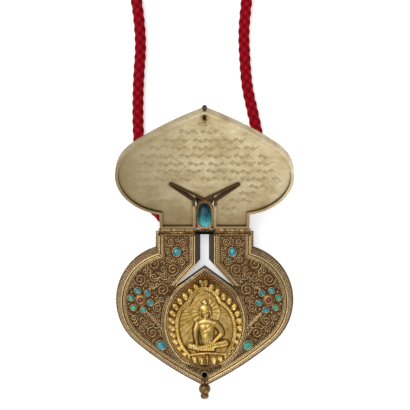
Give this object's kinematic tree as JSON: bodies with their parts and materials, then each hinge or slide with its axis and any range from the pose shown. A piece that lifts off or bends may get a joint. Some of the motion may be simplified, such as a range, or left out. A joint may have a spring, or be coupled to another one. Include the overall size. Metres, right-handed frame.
{
  "type": "ghau amulet box",
  "caption": "Heart-shaped hinged amulet box lying open on its back: filigree face, gilt seated-figure plaque, turquoises, swinging lid and red neck cord.",
  "frame": {"origin": "on the back sheet's outer face, below the widest part of the leaf that frames the plaque", "axes": "+X to the viewer's right, +Y from the tip towards the hinge and the cord, +Z from the back sheet to the plaque"},
  "size_m": [0.1126, 0.3417, 0.087],
  "materials": {
    "dark_silver": "darkened silver",
    "filigree_silver": "gilt silver wire",
    "pale_silver": "pale silver sheet",
    "gilt_metal": "gilded",
    "turquoise": "polished",
    "garnet": "polished",
    "red_cord": "braided"
  },
  "bodies": {
    "box": {"back_sheet": "dark_silver", "base_wire": "filigree_silver", "border_wire_inner": "filigree_silver", "border_wire_outer": "filigree_silver", "catch_socket": "filigree_silver", "cord_coil": "red_cord", "cord_left_leg": "red_cord", "cord_right_leg": "red_cord", "cord_through_bails": "red_cord", "cord_tie": "red_cord", "crest_bezel": "dark_silver", "crest_bracket": "dark_silver", "crest_turquoise": "turquoise", "front_sheet": "dark_silver", "image_plaque": "gilt_metal", "leaf_frame": "gilt_metal", "left_bail": "filigree_silver", "left_box_knuckle": "filigree_silver", "left_flower_collets": "filigree_silver", "left_flower_turquoises": "turquoise", "left_garnet": "garnet", "left_garnet_seat": "filigree_silver", "left_lower_collet": "filigree_silver", "left_lower_turquoise": "turquoise", "left_neck_collet": "filigree_silver", "left_neck_turquoise": "turquoise", "right_bail": "filigree_silver", "right_box_knuckle": "filigree_silver", "right_flower_collets": "filigree_silver", "right_flower_turquoises": "turquoise", "right_garnet": "garnet", "right_garnet_seat": "filigree_silver", "right_lower_collet": "filigree_silver", "right_lower_turquoise": "turquoise", "right_neck_collet": "filigree_silver", "right_neck_turquoise": "turquoise", "side_wall": "dark_silver", "tip_finial": "filigree_silver"},
    "lid": {"left_hinge_pin": "filigree_silver", "left_lid_knuckles": "filigree_silver", "lid_face": "pale_silver", "lid_knob": "filigree_silver", "lid_peg": "filigree_silver", "lid_plate": "pale_silver", "lid_wall": "pale_silver", "right_hinge_pin": "filigree_silver", "right_lid_knuckles": "filigree_silver"}
  },
  "joints": [
    {"name": "lid_hinge", "type": "hinge", "parent": "box", "child": "lid", "pos_m": [0, 0.055, 0.01705], "axis": [1, 0, 0], "range_deg": [0, 134.5]}
  ]
}
